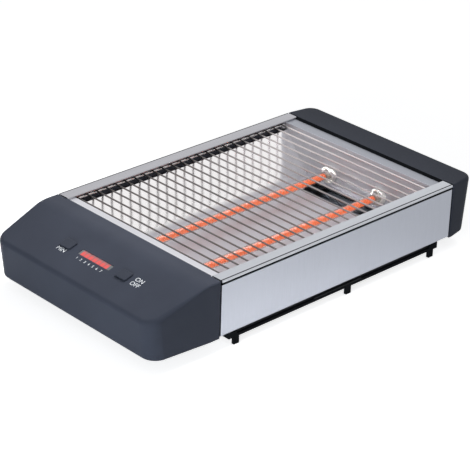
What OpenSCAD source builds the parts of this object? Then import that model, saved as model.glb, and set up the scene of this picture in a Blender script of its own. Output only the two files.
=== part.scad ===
// Flat toaster: a low steel body under a wire rack, with two quartz heaters in a polished
// trough, a sloped control housing at one end and a plain housing at the other.
// X runs along the body with the controls at -X, the front panel faces -Y, and Z is up.
// The origin lies on the table under the middle of the toaster.

/* [Body] */
// Length of the steel body between the two housings
body_len = 288; // [260:1:330]
// Width over the two top rails
body_w = 217; // [205:1:240]
// Height from the lower edge of the side panels to the top of the rails
body_h = 53.7; // [50:0.1:62]
// Thickness of the steel sheet
sheet = 0.8; // [0.6:0.1:1]
// Open joint between the steel body and a housing
joint_gap = 1.8; // [0.8:0.1:2]

/* [Rails and panels] */
// Width of a top rail
rail_w = 13; // [11:0.5:14]
// Height of a rail's outer lip
rail_lip = 2.2; // [2:0.1:3]
// Height of a rail's inner lip
rail_inner_lip = 2; // [1.6:0.1:2.6]
// Depth of the web that hangs behind the panel, from the top of the rail
web_depth = 14; // [10:0.5:16]
// Shadow line between a rail's lip and the panel under it
shadow_gap = 2.4; // [1:0.1:3]
// Distance of the panel's face behind the rail's lip
panel_inset = 0.5; // [0.2:0.1:0.8]
// Distance of the web behind the panel
web_back = 4; // [3:0.5:5]
// Width of the thick bead along a rail's outer edge
bead_w = 3; // [2.4:0.1:4]
// Width of the groove along the bead
groove_w = 0.8; // [0.5:0.1:1]
// Depth of the groove along the bead
groove_d = 1.1; // [0.6:0.1:1.4]
// Width of the flange along a panel's lower edge
panel_flange = 12; // [11:0.5:16]
// Outer radius of the folds
fold_r = 1.2; // [1.05:0.05:1.5]

/* [End plates] */
// Width of the bright strip beside the control housing
strip_near = 9; // [8:0.5:14]
// Width of the bright strip beside the far housing
strip_far = 14; // [11:0.5:18]
// Open joint between the control housing's tongue and its strip
strip_gap = 0.8; // [0.3:0.1:1.2]
// Length of the far housing's tongue over its strip
tongue_len = 2; // [1:0.5:4]

/* [Rack] */
// Number of cross wires
wire_count = 24; // [16:1:28]
// Diameter of a cross wire
wire_d = 1.6; // [1.4:0.1:2.4]
// Diameter of the two long rods that carry the wires
rod_d = 2.5; // [2:0.1:3]
// Distance of the rods behind the rails' outer faces
rod_inset = 11; // [9:0.5:12]
// Distance of the wires' ends behind the rails' outer faces
wire_inset = 7.5; // [7:0.5:9]
// Distance of the first wire from the near end plate
wire_first = 2; // [1.5:0.5:8]
// Distance of the last wire from the far end plate
wire_last = 6.5; // [1.5:0.5:10]
// Depth that a wire is welded into a rod
weld = 0.3; // [0.2:0.05:0.5]

/* [Reflector] */
// Thickness of the reflector's sheet
mirror_sheet = 0.6; // [0.5:0.1:0.8]
// Width of the trough's flat floor
floor_w = 125; // [110:1:140]
// Height of the trough's floor above the panels' lower edge
floor_h = 5.7; // [5:0.1:8]
// Distance of the trough's upper edges behind the rails' outer faces
bend_inset = 15.5; // [14.5:0.5:18]
// Distance of the trough's upper edges below the rails' inner lips
edge_drop = 7; // [5:0.5:9]
// Width of the lips turned out along the trough's upper edges
mirror_lip = 2; // [1:0.1:2.5]
// Width of a crumb slot along the body
slot_w = 21.5; // [8:0.5:24]
// Length of a crumb slot across the body
slot_len = 104; // [40:1:108]
// Distance of a crumb slot from its end plate
slot_inset = 5.5; // [4:0.5:20]

/* [Heaters] */
// Outer diameter of a quartz tube
tube_d = 8; // [7.6:0.1:10]
// Wall of a quartz tube
tube_wall = 0.8; // [0.7:0.1:1]
// Distance between the axes of the two tubes
tube_spacing = 65; // [60:0.5:72]
// Height of the tubes' axes above the trough's floor
tube_h = 12.8; // [11:0.1:14]
// Diameter of a heating spiral's wire
coil_wire = 1.2; // [1:0.1:1.4]
// Number of curls in a heating spiral
coil_turns = 45; // [20:1:45]
// Distance of a heating spiral's ends from the end plates
coil_inset = 9; // [7:0.5:14]
// Diameter of a ceramic holder's collar
collar_d = 16.5; // [16:0.5:19]
// Length of a ceramic holder's collar
collar_len = 5; // [4:0.5:8]
// Diameter of the cup in a ceramic holder's collar
cup_d = 11.5; // [11:0.1:13]
// Depth of the cup in a ceramic holder's collar
cup_depth = 3; // [2:0.1:3.5]
// Wall of a ceramic holder's neck round the tube
neck_wall = 1.5; // [1.2:0.1:2]
// Length of a ceramic holder's neck past the end plate
neck_len = 6.5; // [6:0.5:8]
// Thickness of a ceramic holder's closed back
neck_back = 2.3; // [1.5:0.1:3]
// Diameter of a terminal pin
pin_d = 2.8; // [2:0.1:3.2]
// Length of a terminal pin past its ceramic holder
pin_out = 9; // [6:0.5:10]

/* [Control housing] */
// Length of the control housing
control_len = 76; // [72:1:90]
// Length of the flat strip on top, beside the rack
control_flat = 18; // [15:0.5:20]
// Slope of the control face, in degrees
control_slope = 16.5; // [12:0.5:18]
// Radius of the soft bend between the flat strip and the slope
crease_r = 45; // [20:1:60]
// Distance that the end face leans in at its foot
control_draft = 3.5; // [1:0.5:6]
// Distance that each side draws in towards the end
control_taper = 3; // [1:0.5:4]
// Radius of the upright corners
control_corner = 15; // [10:0.5:18]
// Rounding between the control face and the end face
control_edge = 5; // [3:0.5:6]
// Wall of both housings
wall = 2.5; // [2:0.1:3]
// Rounding along the side edges of both housings
side_edge = 1.5; // [1:0.1:2]
// Rounding under the end of both housings
low_edge = 3; // [2.5:0.1:4]
// Distance that both housings hang below the panels' lower edges
housing_drop = 1.5; // [0:0.1:2]

/* [Far housing] */
// Length of the far housing
end_len = 32; // [30:0.5:44]
// Distance that its end face leans in at its foot
end_draft = 4.5; // [3:0.5:9]
// Distance that each side draws in towards the end
end_taper = 1.5; // [0.5:0.5:3]
// Radius of its upright corners
end_corner = 12; // [8:0.5:14]
// Rounding along its top outer edge
end_edge = 3; // [2.5:0.1:4]

/* [Controls] */
// Distance of the row of controls down the slope
control_row = 29.2; // [28:0.1:31]
// Size of a key across the housing
key_w = 13.5; // [11:0.5:15]
// Size of a key down the slope
key_l = 10; // [8:0.5:11]
// Height of a key above the control face
key_proud = 1.5; // [1:0.1:2.5]
// Travel of a key
key_travel = 0.8; // [0.5:0.1:1]
// Gap round a key
key_gap = 0.35; // [0.25:0.05:0.5]
// Distance of each key from the middle of the row
key_spread = 37; // [34:0.5:41]
// Length of the display window across the housing
window_w = 41; // [39:0.5:44]
// Size of the display window down the slope
window_l = 6.5; // [6:0.1:8]
// Depth of the window's face under the control face
window_sink = 0.4; // [0.2:0.1:0.8]
// Number of lit bars in the display
bar_count = 7; // [5:1:7]
// Pitch of the lit bars
bar_pitch = 5.2; // [5:0.1:5.4]
// Depth of the control board's face under the control face
board_depth = 11.5; // [11:0.1:14]

/* [Base and tray] */
// Height of the peg feet
foot_h = 7.2; // [5:0.1:12]
// Length of a foot along the body
foot_len = 6; // [5:0.5:8]
// Thickness of a foot
foot_w = 3; // [2.5:0.1:5]
// Distance of the first foot from the near end of the base
foot_near = 9; // [8:0.5:20]
// Distance of the last foot from the far end of the base
foot_far = 8; // [7.5:0.5:20]
// Distance of the middle foot past the middle of the base
foot_shift = 14; // [0:0.5:20]
// Height of the base under the panels
base_h = 6.3; // [6:0.1:9]
// Thickness of the base's floor
base_floor = 1.5; // [1.2:0.1:2]
// Height of the base's front lip
base_lip = 2.5; // [2.2:0.1:3]
// Thickness of the base's front lip and back wall
base_wall = 2.2; // [1.8:0.1:3]
// Distance of the base's faces behind the rails' outer faces
base_inset = 0.8; // [0.5:0.1:2]
// Distance of the base from the near end of the steel body
base_near = 10; // [4:0.5:11]
// Distance of the base from the far end of the steel body
base_far = 14.5; // [8:0.5:15]
// Width of the runners at the base's two ends
runner_w = 9.5; // [9:0.5:12]
// Thickness of the crumb tray's sheet
tray_sheet = 0.8; // [0.6:0.1:1]
// Running gap round the crumb tray
tray_gap = 0.3; // [0.25:0.05:0.5]
// Distance of the tray's front behind the base's lip
tray_recess = 2; // [1:0.5:4]
// Width of the tray's pull tab
tab_w = 60; // [40:1:90]

/* [Hidden] */
$fn = 48;

// Small part sizes
screw_d = 3.2;
screw_head_d = 6.4;
screw_head_h = 2.2;
screw_gap = 0.2;
hole_clear = 0.4;
seat_gap = 0.05;
slip = 0.1;
end_play = 0.2;
tube_slip = 0.15;
coil_slip = 0.2;
hull_fn = 48;
edge_steps = 6;
bend_steps = 5;
bend_foot = 4;

// Places along the body
total_len = control_len + body_len + end_len;
x_near = -total_len / 2 + control_len;
x_far = x_near + body_len;
x_wall_near = x_near + strip_near;
x_wall_far = x_far - strip_far;
y_out = body_w / 2;

// Levels
z_body = foot_h + base_h;
z_top = z_body + body_h;
z_house = z_body - housing_drop;
web_u = panel_inset + sheet + web_back;
y_web = y_out - web_u - sheet;
y_plate = y_web - slip;
wire_z = z_top - rail_inner_lip - screw_gap - wire_d / 2;
rod_z = wire_z - wire_d / 2 - rod_d / 2 + weld;
z_rest = rod_z - rod_d / 2 - seat_gap;
z_edge = z_top - rail_inner_lip - edge_drop;
z_floor = z_body + floor_h;
z_plate = z_top - rail_inner_lip - slip;
tube_z = z_floor + tube_h;
tube_y = tube_spacing / 2;

// Rails, panels and end plates
groove_in = 1;
rest_w = 6;
rest_len = 5;
brace_w = 12;
brace_drop = 3;
brace_places = [for (k = [1:3]) x_near + k * body_len / 4];
brace_z = -rail_lip - shadow_gap - brace_drop;

// Heater parts
tube_bore = tube_d - 2 * tube_wall;
coil_r = tube_bore / 2 - coil_slip - coil_wire / 2;
ceramic_bore = tube_d + 2 * tube_slip;
neck_d = ceramic_bore + 2 * neck_wall;
bore_depth = sheet + neck_len - neck_back;
disc_d = tube_bore - 2 * coil_slip;
disc_len = 1.5;
tube_reach = bore_depth - end_play;
pin_reach = sheet + neck_len + pin_out;
lead_d = 2.6;
link_bend = 4;
cutout_up = 6;
cutout_cap_t = 1;
cutout_cap_d = 15;
cutout_d = 12;
cutout_h = 6;

// Housings
x_crease = x_near - control_flat;
x_bend = x_crease + crease_r * tan(control_slope / 2);
edge_reach = (control_corner - control_edge) * cos(control_slope)
  - control_edge * sin(control_slope) + control_edge;
x_corner = x_near - control_len + edge_reach;
x_foot = x_near - control_len + control_draft + control_corner;
z_corner = z_top - (x_crease - x_corner) * tan(control_slope);
y_corner = y_out - control_taper - control_corner;
post_d = 8;
post_side = 5.3;
post_low = 12;
post_high = 7.5;
post_y = y_plate - post_side;
post_levels = [z_body + post_low, z_edge - post_high];
post_back_near = 22;
post_back_far = 12;
post_pilot = 16;
post_screw_len = 14;
rib_t = 2;
rib_short = 0.5;
end_flat = 3;

// Control board, in the frame of the control face
board_t = 1.6;
board_margin = 18;
board_w = 2 * (key_spread + board_margin);
board_l = 40;
board_hole = [board_l / 2 - 4, board_w / 2 - 5];
board_post_d = 6;
board_screw_d = 2.4;
board_head_d = 4.6;
board_head_h = 1.6;
board_screw_len = 6;
switch_size = 6;
switch_h = 3.5;
plunger_d = 3.4;
plunger_len = 2.5;
stem_d = 5;
plunger_rest = 1.1;
stem_end = board_depth - switch_h - plunger_rest;
key_flange = 1.2;
key_corner = 1.5;
window_lip = 1.3;
window_flange = 1;
bar_w = 4.4;
bar_l = 4.6;
bar_h = 0.9;
bar_corner = 0.4;
window_corner = 0.5;
block_top = wall + window_flange + end_play + bar_h;

// Power board and what stands on it
power_l = 44;
power_w = 70;
power_y = 43;
power_front = 14;
power_post_h = 6;
z_power = z_body + wall + power_post_h;
x_power = x_near - power_front - power_l / 2;
power_hole = [power_l / 2 - 4, power_w / 2 - 4];
block_size = [11, 40, 12];
block_from = 27;
block_edge = 1;
block_entry = 7;
block_y = power_y - power_w / 2 + block_from;
relay_size = [20, 15.5, 15.5];
relay_at = [-8, -20];
capacitor_size = [22, 11, 13];
capacitor_at = [-8, 6];

// Cord gland in the control housing's rear side
gland_back = 40;
gland_up = 18;
gland_sink = 1.4;
gland_d = 9.8;
gland_bore = 7.2;
gland_flange_d = 13;
gland_flange_t = 1.2;
gland_len = 10;
gland_nut_d = 15;
gland_nut_t = 3;
gland_nut_gap = 0.7;
x_gland = x_near - gland_back;
z_gland = z_body + gland_up;
y_seat = y_out - control_taper * (x_bend - x_gland) / (x_bend - x_foot) - gland_sink;

// Base and tray
x_base_near = x_near + base_near;
x_base_far = x_far - base_far;
y_base = y_out - base_inset;
x_runner_near = x_base_near + runner_w;
x_runner_far = x_base_far - runner_w;
foot_places = [
  x_base_near + foot_near,
  (x_base_near + x_base_far) / 2 + foot_shift,
  x_base_far - foot_far
];
glide_w = 2;
glide_places = [for (k = [1:3]) x_runner_near + k * (x_runner_far - x_runner_near) / 4];
base_screw_inset = 8;
base_screw_near = 4;
base_screw_far = 4.5;
base_screw_y = y_out - base_screw_inset;
base_screw_x = [x_runner_near - base_screw_near, x_runner_far + base_screw_far];
base_screw_len = base_h + 2;
z_tray = foot_h + base_lip + tray_gap;
tray_h = z_body - tray_gap - z_tray;
y_tray_front = -y_base + tray_recess;
y_tray_back = y_base - base_wall - tray_gap;

// Folded sheet: the path is one face, and the sheet lies on its left
function unit(v) = v / norm(v);
function left(v) = [-v[1], v[0]];
function turned(v, a) = [v[0] * cos(a) - v[1] * sin(a), v[0] * sin(a) + v[1] * cos(a)];
function arc(c, r, a, b, n = edge_steps) =
  [for (i = [0:n]) let (q = a + (b - a) * i / n) c + r * [cos(q), sin(q)]];
function fold(a, b, c, r, n = 5) =
  let (
    d = unit(b - a),
    e = unit(c - b),
    way = sign(d[0] * e[1] - d[1] * e[0]),
    turn = acos(d * e),
    start = b - d * r * tan(turn / 2),
    centre = start + left(d) * way * r
  )
  [for (i = [0:n]) centre + turned(start - centre, way * turn * i / n)];
function side(p, i, t) =
  let (
    d = unit(p[max(i, 1)] - p[max(i, 1) - 1]),
    e = unit(p[min(i, len(p) - 2) + 1] - p[min(i, len(p) - 2)])
  )
  p[i] + (left(d) + left(e)) * t / (1 + d * e);
function sheet_outline(p, t) = concat(p, [for (i = [len(p) - 1:-1:0]) side(p, i, t)]);

// Extrudes a (Y, Z) outline along X
module along_x(x, length) translate([x, 0, 0]) rotate([90, 0, 90]) linear_extrude(length) children();

module on_slope() translate([x_crease, 0, z_top]) rotate([0, -control_slope, 0]) children();

module plate(l, w, r, low, high) translate([0, 0, low]) linear_extrude(high - low) {
  square([l - 2 * r, w], center = true);
  square([l, w - 2 * r], center = true);
  for (x = [-1, 1], y = [-1, 1]) translate([x * (l / 2 - r), y * (w / 2 - r)]) circle(r);
}

module block(low, high) translate(low) cube(high - low);

// A round run of wire from p to q
module wire_run(p, q, d) translate(p)
  rotate([0, acos((q - p)[2] / norm(q - p)), atan2((q - p)[1], (q - p)[0])])
  cylinder(d = d, h = norm(q - p), $fn = 24);

module wire_path(p, d) {
  for (i = [0:len(p) - 2]) wire_run(p[i], p[i + 1], d);
  for (i = [1:len(p) - 2]) translate(p[i]) sphere(d = d, $fn = 24);
}

// A screw whose head sits under the plane, with its shank pointing up
module screw(d, head_d, head_h, length) {
  translate([0, 0, -head_h]) cylinder(d = head_d, h = head_h);
  translate([0, 0, -slip]) cylinder(d = d, h = length + slip);
}

// Housings

module corner_quarter(r, edge) rotate([0, 0, 90]) rotate_extrude(angle = 90, $fn = hull_fn)
  polygon(concat([[0, 0]], arc([r - edge, -edge], edge, 90, 0), [[r, -edge - 1], [0, -edge - 1]]));

function joint_section(inset) =
  let (w = y_out - inset, t = z_top - inset, b = z_house + inset, e = max(side_edge - inset, slip))
  concat(
    arc([w - e, t - e], e, 0, 90), arc([e - w, t - e], e, 90, 180),
    arc([e - w, b + e], e, 180, 270), arc([w - e, b + e], e, 270, 360)
  );

// The top of a section in the soft bend; its foot lies inside the form
function bend_section(inset, drop) =
  let (w = y_out - inset, t = z_top - inset - drop, e = max(side_edge - inset, slip))
  concat(
    arc([w - e, t - e], e, 0, 90), arc([e - w, t - e], e, 90, 180),
    [[bend_foot - w, t - bend_foot], [w - bend_foot, t - bend_foot]]
  );

// The control housing's outer form, or its hollow where inset is the wall
module control_form(inset, over) hull() {
  along_x(x_bend, x_near - joint_gap + over - x_bend) polygon(joint_section(inset));
  for (i = [1:bend_steps]) let (a = control_slope * i / bend_steps)
    along_x(x_bend - crease_r * sin(a), 1) polygon(bend_section(inset, crease_r * (1 - cos(a))));
  for (m = [0, 1]) mirror([0, m, 0]) {
    translate([x_corner, y_corner, z_corner]) rotate([0, -control_slope, 0]) translate([0, 0, -inset])
      corner_quarter(control_corner - inset, max(control_edge - inset, slip));
    translate([x_foot, y_corner, z_house + inset])
      mirror([0, 0, 1]) corner_quarter(control_corner - inset, max(low_edge - inset, slip));
  }
}

module end_form(inset, over) hull() {
  along_x(x_far + joint_gap - over, end_flat + over) polygon(joint_section(inset));
  for (m = [0, 1]) mirror([0, m, 0]) {
    translate([x_far + end_len - end_corner, y_out - end_taper - end_corner, z_top - inset])
      mirror([1, 0, 0]) corner_quarter(end_corner - inset, max(end_edge - inset, slip));
    translate([x_far + end_len - end_draft - end_corner, y_out - end_taper - end_corner, z_house + inset])
      mirror([1, 0, 0]) mirror([0, 0, 1]) corner_quarter(end_corner - inset, max(low_edge - inset, slip));
  }
}

// Screw posts that reach from a housing to its end plate, with a rib to the side wall
module housing_posts(x_tip, x_root, x_rib) for (m = [0, 1], z = post_levels) mirror([0, m, 0]) {
  wire_run([x_tip, post_y, z], [x_root, post_y, z], post_d);
  block([min(x_rib, x_root), post_y, z - rib_t / 2],
    [max(x_rib, x_root), y_out - wall / 2 - rib_short, z + rib_t / 2]);
}

module post_pilots(x_tip, way) for (m = [0, 1], z = post_levels) mirror([0, m, 0])
  wire_run([x_tip - way, post_y, z], [x_tip + way * post_pilot, post_y, z], screw_d + screw_gap);

module control_housing() color([0.23, 0.25, 0.28]) difference() {
  union() {
    difference() {
      control_form(0, 0);
      control_form(wall, 2);
    }
    housing_posts(x_wall_near - sheet, x_near - post_back_near, x_near - joint_gap - slip);
    on_slope() for (x = [-1, 1], y = [-1, 1])
      translate([-control_row + x * board_hole[0], y * board_hole[1], -board_depth])
      cylinder(d = board_post_d, h = board_depth - wall / 2);
    for (x = [-1, 1], y = [-1, 1])
      translate([x_power + x * power_hole[0], power_y + y * power_hole[1], z_house + wall / 2])
      cylinder(d = board_post_d, h = z_power - z_house - wall / 2);
    block([x_near - joint_gap - end_flat, rail_w - y_out + hole_clear, z_top - wall],
      [x_near - strip_gap, y_out - rail_w - hole_clear, z_top]);
  }
  post_pilots(x_wall_near - sheet, -1);
  on_slope() {
    for (y = [-1, 1]) translate([-control_row, y * key_spread, 0])
      plate(key_l + 2 * key_gap, key_w + 2 * key_gap, key_corner + key_gap, -wall - 2, 2);
    translate([-control_row, 0, 0])
      plate(window_l + 2 * slip, window_w + 2 * slip, window_corner, -wall - 2, 2);
    for (x = [-1, 1], y = [-1, 1])
      translate([-control_row + x * board_hole[0], y * board_hole[1], -board_depth - 1])
      cylinder(d = board_screw_d + screw_gap, h = 8);
  }
  for (x = [-1, 1], y = [-1, 1])
    translate([x_power + x * power_hole[0], power_y + y * power_hole[1], z_body + wall])
    cylinder(d = board_screw_d + screw_gap, h = power_post_h + 1);
  on_gland(0) {
    cylinder(d = gland_flange_d + 2 * hole_clear, h = gland_sink + 3);
    translate([0, 0, -wall - 3]) cylinder(d = gland_d + screw_gap, h = wall + 4);
  }
}

module far_housing() color([0.23, 0.25, 0.28]) difference() {
  union() {
    difference() {
      end_form(0, 0);
      end_form(wall, 2);
    }
    block([x_far - tongue_len, rail_w - y_out + hole_clear, z_plate + slip],
      [x_far + joint_gap + end_flat, y_out - rail_w - hole_clear, z_top]);
    housing_posts(x_wall_far + sheet, x_far + post_back_far, x_far + joint_gap + slip);
  }
  post_pilots(x_wall_far + sheet, 1);
}

// Steel body

module along_side(way) mirror([0, way > 0 ? 1 : 0, 0]) translate([0, -y_out, z_top]) children();

// The screw holes through both panels' lower flanges
module base_screw_holes(d, low, high) for (x = base_screw_x, m = [0, 1]) mirror([0, m, 0])
  translate([x, base_screw_y, low]) cylinder(d = d, h = high - low);

// A panel, with braces that reach back to the rail's web
module side_panel(way) color([0.70, 0.72, 0.76]) difference() {
  along_side(way) {
    along_x(x_near, body_len) polygon(sheet_outline(concat(
      [[panel_inset, -rail_lip - shadow_gap]],
      fold([panel_inset, -rail_lip], [panel_inset, -body_h], [panel_flange, -body_h], fold_r),
      [[panel_flange, -body_h]]
    ), sheet));
    for (x = brace_places)
      block([x - brace_w / 2, panel_inset + sheet / 2, brace_z - sheet],
        [x + brace_w / 2, web_u - seat_gap, brace_z]);
  }
  base_screw_holes(screw_d + hole_clear, z_body - 1, z_body + 3);
}

module top_rail(way) color([0.74, 0.76, 0.80]) along_side(way) along_x(x_near, body_len) difference() {
  union() {
    polygon(sheet_outline(concat(
      [[rail_w, -rail_inner_lip]],
      fold([rail_w, -rail_inner_lip], [rail_w, 0], [0, 0], fold_r),
      fold([rail_w, 0], [0, 0], [0, -rail_lip], fold_r),
      [[0, -rail_lip], [web_u, -rail_lip], [web_u, -web_depth]]
    ), sheet));
    translate([sheet / 2, -rail_lip]) square([bead_w - sheet / 2, rail_lip - sheet / 2]);
  }
  translate([groove_in, -groove_d]) square([groove_w, groove_d + 1]);
}

// A pressed pan whose floor closes one end of the trough and whose rim turns to the housing,
// with two tongues that carry the rack's rods
module end_plate(x_wall, x_rim, way) color([0.78, 0.79, 0.80]) difference() {
  union() {
    block([min(x_wall, x_rim), -y_plate, z_body + sheet], [max(x_wall, x_rim), y_plate, z_plate]);
    for (y = [-1, 1]) translate([x_wall, y * (y_out - rod_inset), z_rest])
      block([way > 0 ? -rest_len : -sheet / 2, -rest_w / 2, -sheet],
        [way > 0 ? sheet / 2 : rest_len, rest_w / 2, 0]);
  }
  block([min(x_wall + way * sheet, x_rim + way), sheet - y_plate, z_body + 2 * sheet],
    [max(x_wall + way * sheet, x_rim + way), y_plate - sheet, z_plate - sheet]);
  for (y = [-1, 1]) wire_run([x_wall - way, y * tube_y, tube_z], [x_wall + way * 3, y * tube_y, tube_z],
    neck_d + hole_clear);
  for (m = [0, 1], z = post_levels) mirror([0, m, 0])
    wire_run([x_wall - way, post_y, z], [x_wall + way * 3, post_y, z], screw_d + hole_clear);
}

module reflector() color([0.82, 0.82, 0.83]) difference() {
  along_x(x_wall_near + end_play, x_wall_far - x_wall_near - 2 * end_play) polygon(sheet_outline(concat(
    [[y_out - bend_inset + mirror_lip, z_edge], [y_out - bend_inset, z_edge], [floor_w / 2, z_floor]],
    [[-floor_w / 2, z_floor], [bend_inset - y_out, z_edge], [bend_inset - mirror_lip - y_out, z_edge]]
  ), mirror_sheet));
  for (x = [x_wall_near + slot_inset, x_wall_far - slot_inset - slot_w])
    block([x, -slot_len / 2, z_floor - 2], [x + slot_w, slot_len / 2, z_floor + 1]);
}

module wire_rack() color([0.62, 0.60, 0.58]) {
  first = x_wall_near + wire_first;
  step = (x_wall_far - wire_last - first) / (wire_count - 1);
  for (i = [0:wire_count - 1]) translate([first + i * step, 0, wire_z])
    wire_run([0, wire_inset - y_out, 0], [0, y_out - wire_inset, 0], wire_d);
  for (y = [-1, 1])
    wire_run([x_wall_near + end_play, y * (y_out - rod_inset), rod_z],
      [x_wall_far - end_play, y * (y_out - rod_inset), rod_z], rod_d);
}

// Heaters

module quartz_tube(y) color([0.95, 0.80, 0.72, 0.5]) translate([0, y, tube_z]) difference() {
  wire_run([x_wall_near - tube_reach, 0, 0], [x_wall_far + tube_reach, 0, 0], tube_d);
  wire_run([x_wall_near - tube_reach - 1, 0, 0], [x_wall_far + tube_reach + 1, 0, 0], tube_bore);
}

// The spiral's centre line: a place along the tube and an angle for each ring
coil_low = x_wall_near + coil_inset;
coil_high = x_wall_far - coil_inset;
coil_rings = 8;
coil_sides = 6;
coil_steps = coil_turns * coil_rings;
coil_run = coil_high - coil_low - 2 * coil_wire;
coil_line = concat(
  [[coil_low, -90]],
  [for (i = [0:coil_steps])
    [coil_low + coil_wire + coil_run * i / coil_steps, 360 * i / coil_rings - 90]],
  [[coil_high, 360 * coil_turns - 90]]
);
function radial(q) = [0, cos(q[1]), sin(q[1])];
coil_points = [for (q = coil_line) [q[0], 0, 0] + coil_r * radial(q)];
coil_last = len(coil_points) - 1;
function coil_ring(i) =
  let (
    p = coil_points[i],
    ahead = i < coil_last ? unit(coil_points[i + 1] - p) : [1, 0, 0],
    behind = i > 0 ? unit(p - coil_points[i - 1]) : [1, 0, 0],
    t = unit(ahead + behind),
    n = unit(radial(coil_line[i]) - t * (t * radial(coil_line[i]))),
    b = cross(t, n)
  )
  [for (k = [0:coil_sides - 1]) let (q = 360 * k / coil_sides)
    p + coil_wire / 2 * (n * cos(q) + b * sin(q))];
coil_gap = min([
  for (i = [0:coil_last], k = [3:12]) if (i + k <= coil_last) norm(coil_points[i + k] - coil_points[i])
]) - coil_wire;
echo(str("Least gap of a heating spiral to itself: ", coil_gap, " mm"));

module heating_coil(y) color([0.95, 0.40, 0.15]) translate([0, y, tube_z]) polyhedron(
  points = [for (i = [0:coil_last]) each coil_ring(i)],
  faces = concat(
    [for (k = [1:coil_sides - 2]) [0, k, k + 1]],
    [for (i = [0:coil_last - 1], k = [0:coil_sides - 1]) each
      let (a = i * coil_sides + k, b = i * coil_sides + (k + 1) % coil_sides)
      [[a, a + coil_sides, b + coil_sides], [a, b + coil_sides, b]]],
    [for (k = [1:coil_sides - 2]) [0, k + 1, k] + [1, 1, 1] * coil_last * coil_sides]
  )
);

// Both ends of the body, as the end plate's inner face and the way out of the trough
module both_ends() {
  translate([x_wall_near, 0, 0]) mirror([1, 0, 0]) children();
  translate([x_wall_far, 0, 0]) children();
}

module tube_ceramics(y) color([0.93, 0.92, 0.89]) both_ends() translate([0, y, tube_z]) difference() {
  union() {
    wire_run([-collar_len, 0, 0], [0, 0, 0], collar_d);
    wire_run([-1, 0, 0], [sheet + neck_len, 0, 0], neck_d);
  }
  wire_run([-collar_len - 1, 0, 0], [cup_depth - collar_len, 0, 0], cup_d);
  wire_run([-collar_len - 1, 0, 0], [bore_depth, 0, 0], ceramic_bore);
  wire_run([0, 0, 0], [sheet + neck_len + 1, 0, 0], pin_d + 2 * slip);
}

module tube_terminals() color([0.72, 0.70, 0.66]) both_ends() for (y = [-1, 1])
  translate([0, y * tube_y, tube_z]) {
    wire_run([-coil_inset, 0, 0], [disc_len - coil_inset, 0, 0], disc_d);
    wire_run([disc_len - coil_inset - slip, 0, 0], [pin_reach, 0, 0], pin_d);
  }

module tube_link_wire() color([0.85, 0.83, 0.78]) {
  x = x_wall_far + pin_reach;
  wire_path([
    [x, -tube_y, tube_z], [x + link_bend, -tube_y, tube_z],
    [x + link_bend, tube_y, tube_z], [x, tube_y, tube_z]
  ], lead_d);
}

module heater_leads() color([0.85, 0.83, 0.78]) {
  x = x_wall_near - pin_reach;
  x_block = x_near - power_front - block_edge;
  x_turn = (x + x_block) / 2;
  entry = block_y - block_size[1] / 2 + block_entry;
  wire_run([x, tube_y, tube_z], [x_block, tube_y, tube_z], lead_d);
  wire_path([
    [x, -tube_y, tube_z], [x_turn, -tube_y, tube_z], [x_turn, entry, tube_z], [x_block, entry, tube_z]
  ], lead_d);
}

module thermal_cutout() color([0.35, 0.33, 0.30])
  translate([x_wall_near - sheet, 0, tube_z + cutout_up]) mirror([1, 0, 0]) {
    wire_run([0, 0, 0], [cutout_cap_t, 0, 0], cutout_cap_d);
    wire_run([cutout_cap_t - slip, 0, 0], [cutout_h, 0, 0], cutout_d);
  }

// Base and crumb tray

module base_pan() color([0.10, 0.11, 0.12]) difference() {
  union() {
    block([x_base_near, -y_base, foot_h], [x_base_far, y_base, foot_h + base_floor]);
    block([x_base_near, -y_base, foot_h], [x_base_far, base_wall - y_base, foot_h + base_lip]);
    block([x_base_near, y_base - base_wall, foot_h], [x_base_far, y_base, z_body]);
    block([x_base_near, -y_base, foot_h], [x_runner_near, y_base, z_body]);
    block([x_runner_far, -y_base, foot_h], [x_base_far, y_base, z_body]);
    for (x = glide_places)
      block([x - glide_w / 2, -y_base, foot_h], [x + glide_w / 2, y_base, foot_h + base_lip]);
    for (x = foot_places, m = [0, 1]) mirror([0, m, 0])
      block([x - foot_len / 2, -y_base, 0], [x + foot_len / 2, foot_w - y_base, foot_h + 1]);
  }
  base_screw_holes(screw_d + hole_clear, foot_h - 1, z_body + 1);
  base_screw_holes(screw_head_d + hole_clear, foot_h - 1, foot_h + screw_head_h);
}

module base_screws() color([0.55, 0.56, 0.58]) for (x = base_screw_x, m = [0, 1]) mirror([0, m, 0])
  translate([x, base_screw_y, foot_h + screw_head_h])
  screw(screw_d, screw_head_d, screw_head_h - end_play, base_screw_len);

module housing_screws() color([0.55, 0.56, 0.58]) both_ends()
  for (m = [0, 1], z = post_levels) mirror([0, m, 0]) translate([0, post_y, z])
    rotate([0, 90, 0]) screw(screw_d, screw_head_d, screw_head_h, post_screw_len);

module crumb_tray() color([0.13, 0.14, 0.15]) {
  x_low = x_runner_near + tray_gap;
  x_high = x_runner_far - tray_gap;
  difference() {
    block([x_low, y_tray_front, z_tray], [x_high, y_tray_back, z_tray + tray_h]);
    block([x_low + tray_sheet, y_tray_front + tray_sheet, z_tray + tray_sheet],
      [x_high - tray_sheet, y_tray_back - tray_sheet, z_tray + tray_h + 1]);
  }
  translate([(x_low + x_high) / 2, 0, 0])
    block([-tab_w / 2, -y_base, z_tray], [tab_w / 2, y_tray_front + tray_sheet / 2, z_tray + tray_sheet]);
}

// Keys, display and boards

module key(y) color([0.20, 0.22, 0.25]) on_slope() translate([-control_row, y * key_spread, 0]) {
  plate(key_l, key_w, key_corner, -wall - end_play - slip, key_proud);
  plate(key_l + 2 * key_flange, key_w + 2 * key_flange, key_corner,
    -wall - end_play - key_flange, -wall - end_play);
  translate([0, 0, -stem_end]) cylinder(d = stem_d, h = stem_end - wall - end_play - slip);
}

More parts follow.
